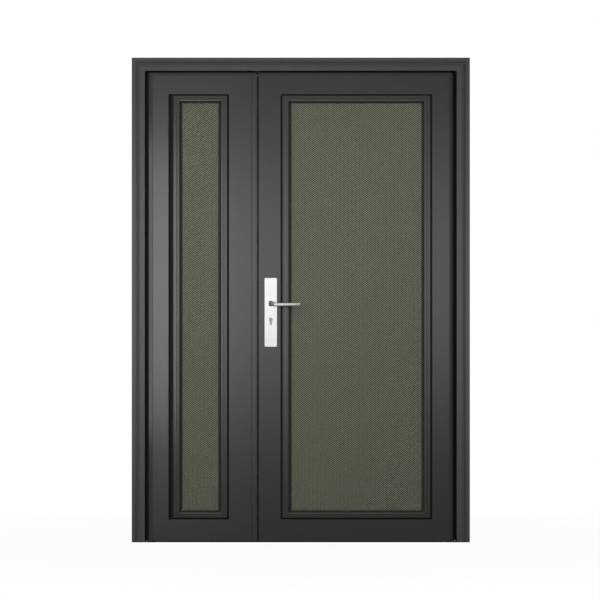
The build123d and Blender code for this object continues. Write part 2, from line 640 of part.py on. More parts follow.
cylinder_section = cylinder_outline(0)
cylinder_face = PLATE_FRONT + CYLINDER_PROUD
with BuildPart() as lock_cylinder:
    with BuildSketch(Plane.XZ):
        with Locations((SPINDLE_X, CYLINDER_Z)):
            add(cylinder_section)
    extrude(amount=cylinder_face, both=True)
    with BuildSketch(Plane.XZ.offset(cylinder_face), Plane.XZ.offset(KEYWAY_DEPTH - cylinder_face)):
        with Locations((SPINDLE_X, CYLINDER_Z)):
            Rectangle(KEYWAY_WIDTH, KEYWAY_HEIGHT)
    extrude(amount=-KEYWAY_DEPTH, mode=Mode.SUBTRACT)
save(lock_cylinder, "lock_cylinder")

# Levers and the square spindle that joins them
outside_lever = lever_handle()
save(outside_lever, "outside_lever")
with BuildPart() as inside_lever:
    mirror(outside_lever.part, about=Plane.XZ)
save(inside_lever, "inside_lever")

with BuildPart() as spindle:
    with BuildSketch(Plane.XZ):
        with Locations((SPINDLE_X, SPINDLE_HEIGHT)):
            Rectangle(SPINDLE_SIDE, SPINDLE_SIDE)
    extrude(amount=HALF_LEAF + NECK_END_GAP + SPINDLE_SOCKET_DEPTH, both=True)
save(spindle, "lever_spindle")
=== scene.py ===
"""Looks of the unequal pair security door: finishes, diamond mesh, seals, lever and small fixings.

The frame is in metres, with the outside of the door towards -Y. Sizes of the door are given in millimetres
times MM, those of the studio in metres.
"""
import json
import math

import bmesh
import bpy
from mathutils import Matrix, Vector


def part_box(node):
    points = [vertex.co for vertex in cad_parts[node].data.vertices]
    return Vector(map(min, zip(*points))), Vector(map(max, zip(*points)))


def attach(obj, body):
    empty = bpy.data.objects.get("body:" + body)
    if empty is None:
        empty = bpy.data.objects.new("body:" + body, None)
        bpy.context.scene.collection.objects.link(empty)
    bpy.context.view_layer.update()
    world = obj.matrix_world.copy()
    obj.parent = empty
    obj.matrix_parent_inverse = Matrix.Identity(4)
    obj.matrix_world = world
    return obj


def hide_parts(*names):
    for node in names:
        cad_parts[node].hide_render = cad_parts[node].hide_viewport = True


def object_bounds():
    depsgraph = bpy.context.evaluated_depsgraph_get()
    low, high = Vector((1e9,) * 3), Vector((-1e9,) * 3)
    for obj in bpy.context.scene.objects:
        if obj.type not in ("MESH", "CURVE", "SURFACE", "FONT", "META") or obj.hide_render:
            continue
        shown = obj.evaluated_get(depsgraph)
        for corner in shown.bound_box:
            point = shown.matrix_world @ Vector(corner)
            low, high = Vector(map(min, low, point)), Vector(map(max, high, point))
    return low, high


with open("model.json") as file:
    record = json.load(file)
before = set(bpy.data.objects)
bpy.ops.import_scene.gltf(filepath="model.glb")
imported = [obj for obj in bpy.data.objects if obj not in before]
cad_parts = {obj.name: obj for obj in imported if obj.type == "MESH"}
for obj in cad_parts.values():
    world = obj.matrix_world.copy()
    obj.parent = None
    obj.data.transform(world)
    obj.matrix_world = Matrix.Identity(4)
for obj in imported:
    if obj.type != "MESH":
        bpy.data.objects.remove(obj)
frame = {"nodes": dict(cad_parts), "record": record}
cad_box = [list(corner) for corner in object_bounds()]
MM = 0.001

# Where the photograph was taken from: straight on and far away, aimed near the middle of the door
PHOTO_WIDTH = 2660.4 * MM
PHOTO_CENTRE_FROM_LEFT = 746.4 * MM
PHOTO_CENTRE_HEIGHT = 1075 * MM
CAMERA_LENS_MM = 200.0
CAMERA_SENSOR_MM = 36.0

# Diamond mesh
CELL_WIDTH = 12.0 * MM
CELL_HEIGHT = 8.886 * MM
STRAND_WIDTH = 3.4 * MM
STRAND_SEAT = 0.1 * MM
MESH_MARGIN = 3.0 * MM
SIDE_BEAD_WIDTH = 48.0 * MM
RAIL_BEAD_WIDTH = 40.0 * MM

# Strips of pile and rubber have small rounded edges
STRIP_ROUNDING = 0.6 * MM
STRIP_ROUNDING_STEPS = 2

# Gaps round the leaves, and the seals in them
SIDE_GAP = 6.0 * MM
HEAD_GAP = 8.0 * MM
STOP_GAP = 6.0 * MM
STOP_PROJECTION = 15.0 * MM
TOP_BEVEL_HEIGHT = 10.0 * MM
SEAL_CLEARANCE = 0.2 * MM
BRUSH_THICKNESS = 4.0 * MM
BRUSH_PLACE = 20.0 * MM
HEAD_GASKET_LAP = 3.5 * MM
HEAD_GASKET_STEPS = 16
FLOOR_BRUSH_SET_BACK = 2.5 * MM
FLOOR_BRUSH_FROM_PIVOT = 24.0 * MM
HEEL_BRUSH_PAST_PIVOT = 11.5 * MM
CORNER_BRUSH_START = 19.0 * MM
CORNER_BRUSH_END = 26.5 * MM
CORNER_BRUSH_SET_BACK = 18.0 * MM
FLOOR_PLATE_TOP = 3.0 * MM
FLOOR_PLATE_END_RADIUS = 22.0 * MM
FLOOR_RING_RADIUS = 29.0 * MM
FLOOR_RING_STEPS = 24
FLOOR_CLEARANCE = 0.6 * MM

# Rubber gaskets in the beads' quirks, and black pile on the ledge beside them, which paints in the shadow
# band along the ledge
BEAD_QUIRK_WIDTH = 9.5 * MM
BEAD_QUIRK_DEPTH = 14.0 * MM
LEDGE_WIDTH = 13.0 * MM
LEDGE_SET_BACK = 11.0 * MM
GASKET_HEIGHT = 2.0 * MM
LEDGE_SHADE_PILE = 2.5 * MM

# Small fixings
SCREW_RADIUS = 3.6 * MM
SCREW_HEIGHT = 0.6 * MM
SCREW_FROM_END = 12.0 * MM
SOCKET_RADIUS = 1.8 * MM
SOCKET_DEPTH = 1.4 * MM
CAP_RADIUS = 7.5 * MM
CAP_HEIGHT = 1.2 * MM
ROUND_HEAD_STEPS = 28
ANCHOR_END_DISTANCE = 200.0 * MM
ANCHOR_PAIR_SPACING = 600.0 * MM
ANCHOR_FROM_BACK = 22.0 * MM
PLUG_RING_RADIUS = 6.4 * MM
PLUG_RING_WIDTH = 0.9 * MM
PLUG_RING_HEIGHT = 0.4 * MM
PLUG_RING_STEPS = 36
MERGE_DISTANCE = 0.01 * MM

# Studio: directions are parts of a unit vector, shares are parts of full white
WORLD_FILL = 0.15
STUDIO_END_START = 0.55
STUDIO_END_FULL = 0.92
LEFT_SIDE_DIRECTION = -0.3
LEFT_SIDE_SHARE = 0.75
RIGHT_SIDE_DIRECTION = 0.6
RIGHT_SIDE_SHARE = 0.4
FLOOR_SIZE = 60.0
FLOOR_DROP = 0.5 * MM
FLOOR_FADE_START = 0.9
FLOOR_FADE_END = 2.8
FLOOR_NEAR_WHITE = 0.95
FLOOR_IN_REFLECTIONS = 0.05

# Lever
LEVER_REACH = 130.0 * MM
LEVER_STAND_OFF = 52.0 * MM
LEVER_BEND_RADIUS = 28.0 * MM
LEVER_BEND_STEPS = 14
GRIP_HEIGHT = 14.2 * MM
GRIP_DEPTH = 12.0 * MM
ROOT_HEIGHT = 23.0 * MM
ROOT_DEPTH = 17.0 * MM
LEVER_BOTTOM_BELOW_SPINDLE = 11.8 * MM
TIP_SLANT = math.radians(24.0)
TIP_ROUNDING = 2.0 * MM
TIP_STEPS = ((0.6, 0.94), (0.3, 0.86), (0.1, 0.72))  # part of the rounding, and size against the step before
NECK_RADIUS = 10.0 * MM
NECK_LENGTH = 26.0 * MM
NECK_END_GAP = 1.0 * MM
NECK_STEPS = 40
SECTION_ROUNDING = 0.2  # part of the section's width and height
SECTION_ROUNDING_STEPS = 5
CRISP_EDGE_ANGLE = math.radians(40.0)


# Small helpers

def srgb(code):
    """A hex colour as linear red, green, blue and alpha."""
    channels = [int(code[i:i + 2], 16) / 255 for i in (1, 3, 5)]
    linear = [c / 12.92 if c <= 0.04045 else ((c + 0.055) / 1.055) ** 2.4 for c in channels]
    return (*linear, 1.0)


def put(tree, kind, inputs=None, **settings):
    """Add a node with its settings, and set or link its inputs."""
    node = tree.nodes.new(kind)
    for name, value in settings.items():
        setattr(node, name, value)
    for name, value in (inputs or {}).items():
        if isinstance(value, bpy.types.NodeSocket):
            tree.links.new(value, node.inputs[name])
        else:
            node.inputs[name].default_value = value
    return node


def new_material(name):
    """An empty node material, and its node tree."""
    material = bpy.data.materials.new(name)
    material.use_nodes = True
    material.node_tree.nodes.clear()
    return material, material.node_tree


def noise(tree, size, detail):
    """Noise on the object's own coordinates, with grains of about the size given."""
    place = put(tree, "ShaderNodeTexCoord")
    grains = put(
        tree, "ShaderNodeTexNoise", {"Vector": place.outputs["Object"], "Scale": 1 / size, "Detail": detail},
    )
    return grains.outputs["Fac"]


def blend(tree, share, first, second):
    """A colour between two, by a share."""
    mix = put(tree, "ShaderNodeMix", {"Factor": share, "A": first, "B": second}, data_type="RGBA")
    return mix.outputs["Result"]


def shades(colour, spread):
    """A darker and a lighter shade of a hex colour."""
    red, green, blue, alpha = srgb(colour)
    return [(red * share, green * share, blue * share, alpha) for share in (1 - spread, 1 + spread)]


def finish_piece(name, bm, material, body, stands_for=(), smooth=False):
    """Turn a modelled bmesh into a piece that rides on a body."""
    bmesh.ops.recalc_face_normals(bm, faces=bm.faces)
    mesh = bpy.data.meshes.new(name)
    bm.to_mesh(mesh)
    bm.free()
    mesh.materials.append(material)
    for polygon in mesh.polygons:
        polygon.use_smooth = smooth
    piece = bpy.data.objects.new(name, mesh)
    bpy.context.scene.collection.objects.link(piece)
    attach(piece, body)
    if stands_for:
        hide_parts(*stands_for)
    return piece


def extrude_ring(bm, edges, matrix):
    """Extrude a closed ring of edges, move the new ring by a matrix and return its edges."""
    made = bmesh.ops.extrude_edge_only(bm, edges=edges)["geom"]
    verts = {g for g in made if isinstance(g, bmesh.types.BMVert)}
    bmesh.ops.transform(bm, matrix=matrix, verts=list(verts))
    return [g for g in made if isinstance(g, bmesh.types.BMEdge) and verts.issuperset(g.verts)]


def block(bm, low, high):
    """A square bar between two corners."""
    low, high = Vector(low), Vector(high)
    place = Matrix.Translation((low + high) / 2) @ Matrix.Diagonal((*(high - low), 1))
    bmesh.ops.create_cube(bm, size=1.0, matrix=place)


def round_strips(bm):
    """Round all edges of the strips modelled so far."""
    bmesh.ops.bevel(
        bm, geom=bm.edges, offset=STRIP_ROUNDING, offset_type="OFFSET", affect="EDGES",
        segments=STRIP_ROUNDING_STEPS, profile=0.5, material=-1,
    )


# Finishes

def powder_coat(name, colour, roughness, specular):
    """Polyester powder coat baked on steel: a dark satin skin with a fine orange peel and a soft gloss."""
    peel = 1.2 * MM  # real peel is about 0.5 mm, drawn coarser so that it shows
    cloud = 90 * MM
    tint_spread = 0.06
    roughness_spread = 0.04
    material, tree = new_material(name)
    grain = noise(tree, peel, 2.0)
    tint = blend(tree, noise(tree, cloud, 3.0), *shades(colour, tint_spread))
    gloss = put(tree, "ShaderNodeMapRange", {
        "Value": grain, "To Min": roughness - roughness_spread, "To Max": roughness + roughness_spread,
    })
    bump = put(tree, "ShaderNodeBump", {"Height": grain, "Strength": 0.10, "Distance": 0.08 * MM})
    coat = put(tree, "ShaderNodeBsdfPrincipled", {
        "Base Color": tint, "Roughness": gloss.outputs["Result"],
        "Specular IOR Level": specular, "Normal": bump.outputs["Normal"],
    })
    put(tree, "ShaderNodeOutputMaterial", {"Surface": coat.outputs["BSDF"]})
    return material


def matt_olive_coat(name, colour):
    """Matt polyester coat on cut and stretched steel: dusty olive, with no clear reflection."""
    speck = 2.5 * MM
    tint_spread = 0.1
    material, tree = new_material(name)
    specks = noise(tree, speck, 2.0)
    tint = blend(tree, specks, *shades(colour, tint_spread))
    bump = put(tree, "ShaderNodeBump", {"Height": specks, "Strength": 0.15, "Distance": 0.1 * MM})
    coat = put(tree, "ShaderNodeBsdfPrincipled", {
        "Base Color": tint, "Roughness": 0.7,
        "Specular IOR Level": 0.25, "Normal": bump.outputs["Normal"],
    })
    put(tree, "ShaderNodeOutputMaterial", {"Surface": coat.outputs["BSDF"]})
    return material


def satin_metal(name, colour, grain_along, roughness):
    """Metal rubbed with a fine abrasive: soft reflections drawn out across long, fine scratches."""
    scratch = 0.8 * MM  # real scratches are about 0.05 mm wide, drawn coarser so that they show
    length = 60 * MM
    roughness_spread = 0.06
    material, tree = new_material(name)
    place = put(tree, "ShaderNodeTexCoord")
    scale = [1 / length if axis == grain_along else 1 / scratch for axis in "XYZ"]
    stretched = put(tree, "ShaderNodeMapping", {"Vector": place.outputs["Object"], "Scale": scale})
    scratches = put(
        tree, "ShaderNodeTexNoise", {"Vector": stretched.outputs["Vector"], "Scale": 1.0, "Detail": 4.0},
    ).outputs["Fac"]
    gloss = put(tree, "ShaderNodeMapRange", {
        "Value": scratches, "To Min": roughness - roughness_spread, "To Max": roughness + roughness_spread,
    })
    bump = put(tree, "ShaderNodeBump", {"Height": scratches, "Strength": 0.06, "Distance": 0.03 * MM})
    metal = put(tree, "ShaderNodeBsdfPrincipled", {
        "Base Color": srgb(colour), "Metallic": 1.0, "Roughness": gloss.outputs["Result"],
        "Normal": bump.outputs["Normal"],
    })
    put(tree, "ShaderNodeOutputMaterial", {"Surface": metal.outputs["BSDF"]})
    return material


def black_pile(name):
    """Polypropylene pile: dense upright black fibres that swallow the light."""
    fibre = 0.6 * MM
    material, tree = new_material(name)
    fibres = noise(tree, fibre, 2.0)
    tint = blend(tree, fibres, srgb("#0b0b0b"), srgb("#1d1c1b"))
    bump = put(tree, "ShaderNodeBump", {"Height": fibres, "Strength": 0.6, "Distance": 0.4 * MM})
    tufts = put(tree, "ShaderNodeBsdfPrincipled", {
        "Base Color": tint, "Roughness": 0.9, "Specular IOR Level": 0.15, "Normal": bump.outputs["Normal"],
    })
    put(tree, "ShaderNodeOutputMaterial", {"Surface": tufts.outputs["BSDF"]})
    return material


def black_rubber(name):
    """Extruded EPDM rubber: matt black with a dull sheen."""
    bloom = 20 * MM
    material, tree = new_material(name)
    tint = blend(tree, noise(tree, bloom, 3.0), srgb("#141414"), srgb("#1e1e1d"))
    skin = put(
        tree, "ShaderNodeBsdfPrincipled", {"Base Color": tint, "Roughness": 0.68, "Specular IOR Level": 0.2},
    )
    put(tree, "ShaderNodeOutputMaterial", {"Surface": skin.outputs["BSDF"]})
    return material


# The finish of each slot
finishes = {
    # The frame's coat is dull, and spreads each light wide
    "frame_coat": powder_coat("charcoal_powder_coat", "#292526", roughness=0.53, specular=0.8),
    # The leaves' coat is smoother, and shows the lights as soft bands
    "leaf_coat": powder_coat("warm_charcoal_powder_coat", "#252020", roughness=0.34, specular=0.55),
    # The mesh is a dusty olive, with a dark sheet of the same hue behind it
    "mesh_coat": matt_olive_coat("olive_coated_steel_mesh", "#90917f"),
    "core_coat": matt_olive_coat("dark_olive_coated_sheet", "#3d3d33"),
    # The lock plates are pale and scratched across, the plated metals are greyer and scratched upright
    "satin_stainless": satin_metal("satin_stainless_steel", "#b5b4b3", grain_along="X", roughness=0.30),
    "nickel_brass": satin_metal("satin_nickel_plated_brass", "#85837f", grain_along="Z", roughness=0.36),
    "plain_steel": satin_metal("zinc_plated_steel", "#9a9a98", grain_along="Z", roughness=0.38),
}
pile = black_pile("black_polypropylene_pile")
rubber = black_rubber("black_epdm_rubber")

# The levers are a shade darker than the plate behind them, and the pivots are a dull near-black
lever_metal = satin_metal("satin_nickel", "#a19f9e", grain_along="X", roughness=0.30)
phosphated = satin_metal("phosphated_steel", "#3a3a3b", grain_along="X", roughness=0.48)

# Every node has its slot's finish, but the pivots are phosphated and the bolts nickel plated
for part in frame["record"]["subparts"]:
    finish = finishes[part["material_slot"]]
    if part["node"].endswith("pivot"):
        finish = phosphated
    elif part["node"] == "lock_bolts":
        finish = finishes["nickel_brass"]
    materials = frame["nodes"][part["node"]].data.materials
    materials.clear()
    materials.append(finish)


# Diamond mesh in front of the core on both sides of both leaves

def diamond_mesh(name, left, columns, bottom, rows, seat_y, crest_y, body, node):
    """Stretched mesh: a mirrored pair of three-sided zigzag strands, repeated across the panel."""
    bm = bmesh.new()
    for way in (1, -1):
        section = [
            bm.verts.new((left - STRAND_WIDTH / 2, seat_y, bottom)),
            bm.verts.new((left + STRAND_WIDTH / 2, seat_y, bottom)),
            bm.verts.new((left, crest_y, bottom)),
        ]
        ring = list(bm.faces.new(section).edges)
        for half_row in range(2 * rows):
            lean = way if half_row % 2 == 0 else -way
            ring = extrude_ring(bm, ring, Matrix.Translation((lean * CELL_WIDTH / 2, 0, CELL_HEIGHT / 2)))
        bmesh.ops.contextual_create(bm, geom=ring)
    piece = finish_piece(name, bm, finishes["mesh_coat"], body, [node])
    across = piece.modifiers.new("columns", "ARRAY")
    across.use_relative_offset = False
    across.use_constant_offset = True
    across.constant_offset_displace = (CELL_WIDTH, 0, 0)
    across.count = columns


for leaf, pieces_across in (("narrow", 1), ("wide", 2)):
    for side, facing in (("outside", -1), ("inside", 1)):
        node = f"{leaf}_{side}_mesh"
        low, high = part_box(node)
        opening_low, opening_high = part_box(f"{leaf}_{side}_bead")
        crest_y, seat_y = (low.y, high.y) if facing < 0 else (high.y, low.y)
        seat_y += facing * STRAND_SEAT
        left = opening_low.x + SIDE_BEAD_WIDTH - MESH_MARGIN
        right = opening_high.x - SIDE_BEAD_WIDTH + MESH_MARGIN
        bottom = opening_low.z + RAIL_BEAD_WIDTH - MESH_MARGIN
        rows = math.ceil((opening_high.z - RAIL_BEAD_WIDTH + MESH_MARGIN - bottom) / CELL_HEIGHT)
        columns = math.ceil((right - left) / CELL_WIDTH) + 1
        first = 0
        for number in range(pieces_across):
            last = columns * (number + 1) // pieces_across
            name = f"{leaf}_{side}_diamonds_{number + 1}"
            start = left + first * CELL_WIDTH
            diamond_mesh(name, start, last - first, bottom, rows, seat_y, crest_y, f"{leaf}_leaf", node)
            first = last


# Seals that close the gaps round the leaves

def brush_seal(name, low, high, body):
    """A strip of pile with slightly rounded edges."""
    bm = bmesh.new()
    block(bm, low, high)
    round_strips(bm)
    finish_piece(name, bm, pile, body)


def floor_ring(name, pivot_x, way):
    """Half a ring of pile on the floor, round the end of the floor plate and under the leaf's heel."""
    inner, outer = FLOOR_PLATE_END_RADIUS + SEAL_CLEARANCE, FLOOR_RING_RADIUS
    low_z, high_z = FLOOR_CLEARANCE, FLOOR_PLATE_TOP
    bm = bmesh.new()
    corners = ((inner, low_z), (outer, low_z), (outer, high_z), (inner, high_z))
    end = bm.faces.new([bm.verts.new((pivot_x, -radius, z)) for radius, z in corners])
    bmesh.ops.spin(
        bm, geom=[end, *end.edges, *end.verts], cent=(pivot_x, 0, 0), axis=(0, 0, -way), angle=math.pi,
        steps=FLOOR_RING_STEPS,
    )
    finish_piece(name, bm, pile, "frame")


narrow_heel_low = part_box("narrow_hinge_stile")[0]
wide_heel_low, wide_heel_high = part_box("wide_hinge_stile")
strip_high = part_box("narrow_meeting_strip")[1]
lock_stile_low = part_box("wide_lock_stile")[0]
leaf_bottom, leaf_top = wide_heel_low.z, wide_heel_high.z
leaf_back = wide_heel_high.y
narrow_pivot_x = narrow_heel_low.x + leaf_back
wide_pivot_x = wide_heel_high.x - leaf_back
left_jamb_face = narrow_heel_low.x - SIDE_GAP
right_jamb_face = wide_heel_high.x + SIDE_GAP
head_underside = leaf_top + HEAD_GAP
half_brush = BRUSH_THICKNESS / 2
brush_front, brush_back = BRUSH_PLACE - half_brush, BRUSH_PLACE + half_brush
above_plate = FLOOR_PLATE_TOP + 2 * SEAL_CLEARANCE

brush_seal(
    "meeting_brush",
    (strip_high.x + SEAL_CLEARANCE, brush_front, FLOOR_CLEARANCE),
    (lock_stile_low.x, brush_back, leaf_top - TOP_BEVEL_HEIGHT),
    "wide_leaf",
)
brush_seal(
    "left_heel_brush",
    (left_jamb_face, -half_brush, FLOOR_PLATE_TOP + SEAL_CLEARANCE),
    (narrow_heel_low.x - SEAL_CLEARANCE, half_brush, head_underside),
    "frame",
)
brush_seal(
    "right_heel_brush",
    (wide_heel_high.x + SEAL_CLEARANCE, -half_brush, FLOOR_PLATE_TOP + SEAL_CLEARANCE),
    (right_jamb_face, half_brush, head_underside),
    "frame",
)
# The narrow leaf's outside floor brush reaches across the meeting gap
for leaf, way, pivot_x, outside_end, inside_end in (
    ("narrow", -1, narrow_pivot_x, lock_stile_low.x - SEAL_CLEARANCE, strip_high.x),
    ("wide", 1, wide_pivot_x, lock_stile_low.x, lock_stile_low.x),
):
    floor_ring(f"{leaf}_floor_ring", pivot_x, way)
    joint_x = pivot_x - way * FLOOR_BRUSH_FROM_PIVOT
    heel_end_x = pivot_x + way * HEEL_BRUSH_PAST_PIVOT
    corner_start_x = pivot_x + way * CORNER_BRUSH_START
    corner_end_x = pivot_x + way * CORNER_BRUSH_END
    for side, facing, meeting_x in (("outside", -1, outside_end), ("inside", 1, inside_end)):
        # A long brush down to the floor, and two short ones that stay clear of the floor plate
        for name, from_x, to_x, set_back, low_z in (
            ("floor_brush", meeting_x, joint_x, FLOOR_BRUSH_SET_BACK, FLOOR_CLEARANCE),
            ("heel_floor_brush", joint_x, heel_end_x, FLOOR_BRUSH_SET_BACK, above_plate),
            ("heel_corner_brush", corner_start_x, corner_end_x, CORNER_BRUSH_SET_BACK, above_plate),
        ):
            left, right = sorted((from_x, to_x))
            face_y = facing * (leaf_back - set_back)
            near_y, far_y = sorted((face_y, face_y - facing * BRUSH_THICKNESS))
            brush_seal(
                f"{leaf}_{side}_{name}", (left, near_y, low_z), (right, far_y, leaf_bottom), f"{leaf}_leaf",
            )

# Black pile on the narrow leaf's ledge: painted shade, a dark strip where the recess's shadow falls
for side, facing in (("outside", -1), ("inside", 1)):
    low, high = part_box(f"narrow_{side}_bead")
    ledge_y = facing * (leaf_back - LEDGE_SET_BACK)
    low_y, high_y = sorted((ledge_y, ledge_y + facing * LEDGE_SHADE_PILE))
    brush_seal(
        f"narrow_{side}_ledge_shade_pile", (low.x - LEDGE_WIDTH, low_y, low.z), (low.x, high_y, high.z),
        "narrow_leaf",
    )

# Bulb gasket on the head's stop, behind the tops of both leaves
bm = bmesh.new()
bulb_radius = (STOP_GAP - SEAL_CLEARANCE) / 2
bulb_place = Matrix.Translation((
    left_jamb_face + STOP_PROJECTION, leaf_back + SEAL_CLEARANCE + bulb_radius,
    head_underside - STOP_PROJECTION + HEAD_GASKET_LAP,
)) @ Matrix.Rotation(math.pi / 2, 4, "Y")
bmesh.ops.create_circle(bm, cap_ends=True, segments=HEAD_GASKET_STEPS, radius=bulb_radius, matrix=bulb_place)
ring = list(bm.edges)
bulb_length = right_jamb_face - left_jamb_face - 2 * STOP_PROJECTION
ring = extrude_ring(bm, ring, Matrix.Translation((bulb_length, 0, 0)))
bmesh.ops.contextual_create(bm, geom=ring)
finish_piece("head_gasket", bm, rubber, "frame", smooth=True)


# Rubber gaskets round the panels

def gasket_strips(name, left, right, bottom, top, side_width, rail_width, seat_y, crest_y, body):
    """Four rounded strips of rubber along the inside of a rectangle, the two upright ones running through."""
    low_y, high_y = sorted((seat_y, crest_y))
    bm = bmesh.new()
    for x in (left, right - side_width):
        block(bm, (x, low_y, bottom), (x + side_width, high_y, top))
    for z in (bottom, top - rail_width):
        block(bm, (left + side_width, low_y, z), (right - side_width, high_y, z + rail_width))
    round_strips(bm)
    finish_piece(name, bm, rubber, body)


rail_quirk = BEAD_QUIRK_WIDTH * RAIL_BEAD_WIDTH / SIDE_BEAD_WIDTH
for leaf in ("narrow", "wide"):
    for side, facing in (("outside", -1), ("inside", 1)):
        low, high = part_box(f"{leaf}_{side}_bead")
        quirk_y = facing * (leaf_back - BEAD_QUIRK_DEPTH)
        gasket_strips(
            f"{leaf}_{side}_quirk_gasket", low.x, high.x, low.z, high.z, BEAD_QUIRK_WIDTH, rail_quirk,
            quirk_y, quirk_y + facing * GASKET_HEIGHT, f"{leaf}_leaf",
        )


# Screws, caps and the rings round the cylinder's plugs

def low_head(bm, place, way, radius, height):
    """A low round head with a sloped rim, standing on a face; returns its outer flat."""
    stand = Matrix.Translation(place) @ Vector(way).to_track_quat("Z", "Y").to_matrix().to_4x4()
    made = bmesh.ops.create_cone(
        bm, cap_ends=True, segments=ROUND_HEAD_STEPS, radius1=radius, radius2=radius - height, depth=height,
        matrix=stand @ Matrix.Translation((0, 0, height / 2)),
    )["verts"]
    flats = {face for vert in made for face in vert.link_faces if len(face.verts) > 4}
    return max(flats, key=lambda face: (face.calc_center_median() - Vector(place)).dot(Vector(way)))


def screws(name, places, way, material, body):
    """Low screws with a round socket, all facing one way."""
    bm = bmesh.new()
    for place in places:
        flat = low_head(bm, place, way, SCREW_RADIUS, SCREW_HEIGHT)
        bm.normal_update()
        bmesh.ops.inset_individual(bm, faces=[flat], thickness=SCREW_RADIUS - SCREW_HEIGHT - SOCKET_RADIUS)
        sunk = bmesh.ops.extrude_discrete_faces(bm, faces=[flat])["faces"]
        bmesh.ops.translate(bm, verts=sunk[0].verts, vec=Vector(way) * -SOCKET_DEPTH)
    finish_piece(name, bm, material, body)


for node, way, body in (("lock_front", -1, "wide_leaf"), ("strike_plate", 1, "narrow_leaf")):
    low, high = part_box(node)
    x = low.x if way < 0 else high.x
    places = [(x, (low.y + high.y) / 2, z) for z in (low.z + SCREW_FROM_END, high.z - SCREW_FROM_END)]
    screws(f"{node}_screws", places, (way, 0, 0), finishes["plain_steel"], body)
low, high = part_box("inside_lock_plate")
places = [((low.x + high.x) / 2, high.y, z) for z in (low.z + SCREW_FROM_END, high.z - SCREW_FROM_END)]
screws("inside_plate_screws", places, (0, 1, 0), finishes["satin_stainless"], "wide_leaf")

for node, way in (("left_jamb", 1), ("right_jamb", -1)):
    low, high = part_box(node)
    x = high.x if way > 0 else low.x
    first, last = ANCHOR_END_DISTANCE, high.z - ANCHOR_END_DISTANCE
    bm = bmesh.new()
    for z in (first, first + ANCHOR_PAIR_SPACING, last - ANCHOR_PAIR_SPACING, last):
        low_head(bm, (x, high.y - ANCHOR_FROM_BACK, z), (way, 0, 0), CAP_RADIUS, CAP_HEIGHT)
    finish_piece(f"{node}_anchor_caps", bm, rubber, "frame")

low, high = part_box("lock_cylinder")
plug_x = (low.x + high.x) / 2
plug_z = high.z - (high.x - low.x) / 2
bm = bmesh.new()
for face_y, facing in ((low.y, -1), (high.y, 1)):
    near, far = face_y, face_y + facing * PLUG_RING_HEIGHT
    inner, outer = plug_x + PLUG_RING_RADIUS - PLUG_RING_WIDTH, plug_x + PLUG_RING_RADIUS
    section = [bm.verts.new(place) for place in (
        (inner, near, plug_z), (outer, near, plug_z), (outer, far, plug_z), (inner, far, plug_z),
    )]
    outline = [bm.edges.new((section[i - 1], section[i])) for i in range(len(section))]
    bmesh.ops.spin(
        bm, geom=[*section, *outline], cent=(plug_x, face_y, plug_z), axis=(0, 1, 0), angle=2 * math.pi,
        steps=PLUG_RING_STEPS, use_merge=True,
    )
bmesh.ops.remove_doubles(bm, verts=bm.verts, dist=MERGE_DISTANCE)
finish_piece("cylinder_plug_rings", bm, finishes["nickel_brass"], "wide_leaf")


# Levers

spindle_low, spindle_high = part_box("lever_spindle")
spindle_x = (spindle_low.x + spindle_high.x) / 2
spindle_z = (spindle_low.z + spindle_high.z) / 2


def lever_stations():
    """The lever's sections from the neck to the grip: place, turn, depth and height of each."""
    grip_y = -(leaf_back + LEVER_STAND_OFF)
    root_y = grip_y + LEVER_BEND_RADIUS
    bottom = spindle_z - LEVER_BOTTOM_BELOW_SPINDLE
    stations = []
    for step in range(LEVER_BEND_STEPS + 1):
        share = step / LEVER_BEND_STEPS
        turn = share * math.pi / 2
        eased = share * share * (3 - 2 * share)
        height = ROOT_HEIGHT + (GRIP_HEIGHT - ROOT_HEIGHT) * eased
        depth = ROOT_DEPTH + (GRIP_DEPTH - ROOT_DEPTH) * eased
        x = spindle_x + LEVER_BEND_RADIUS * (1 - math.cos(turn))
        y = root_y - LEVER_BEND_RADIUS * math.sin(turn)
        stations.append(((x, y, bottom + height / 2), turn, depth, height))
    return stations


